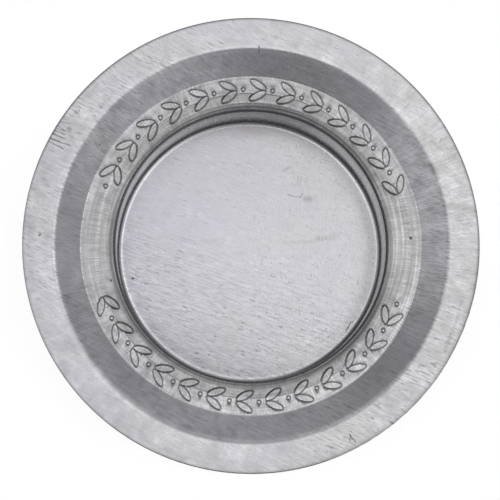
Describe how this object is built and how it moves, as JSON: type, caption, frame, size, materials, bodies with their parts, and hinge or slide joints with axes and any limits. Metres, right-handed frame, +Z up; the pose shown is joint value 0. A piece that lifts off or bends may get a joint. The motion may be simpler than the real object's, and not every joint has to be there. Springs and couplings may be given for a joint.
{
  "type": "candle holder jar lid",
  "caption": "Round pressed steel lid that holds a tea light in the mouth of a preserving jar: flat flange, shallow sloping step, level ring and straight-sided sunken well.",
  "frame": {"origin": "middle of the underside of the well's floor, which is the lowest face", "axes": "+Z up along the lid's axis, out of the well's mouth; +Y is the picture's up and +X its right"},
  "size_m": [0.0684, 0.0684, 0.0139],
  "materials": {
    "pressed_steel": "bare pressed sheet steel, satin, with fine rolling lines, light scuffs and small pits"
  },
  "bodies": {
    "root": {"candle_lid": "pressed_steel"}
  },
  "joints": []
}
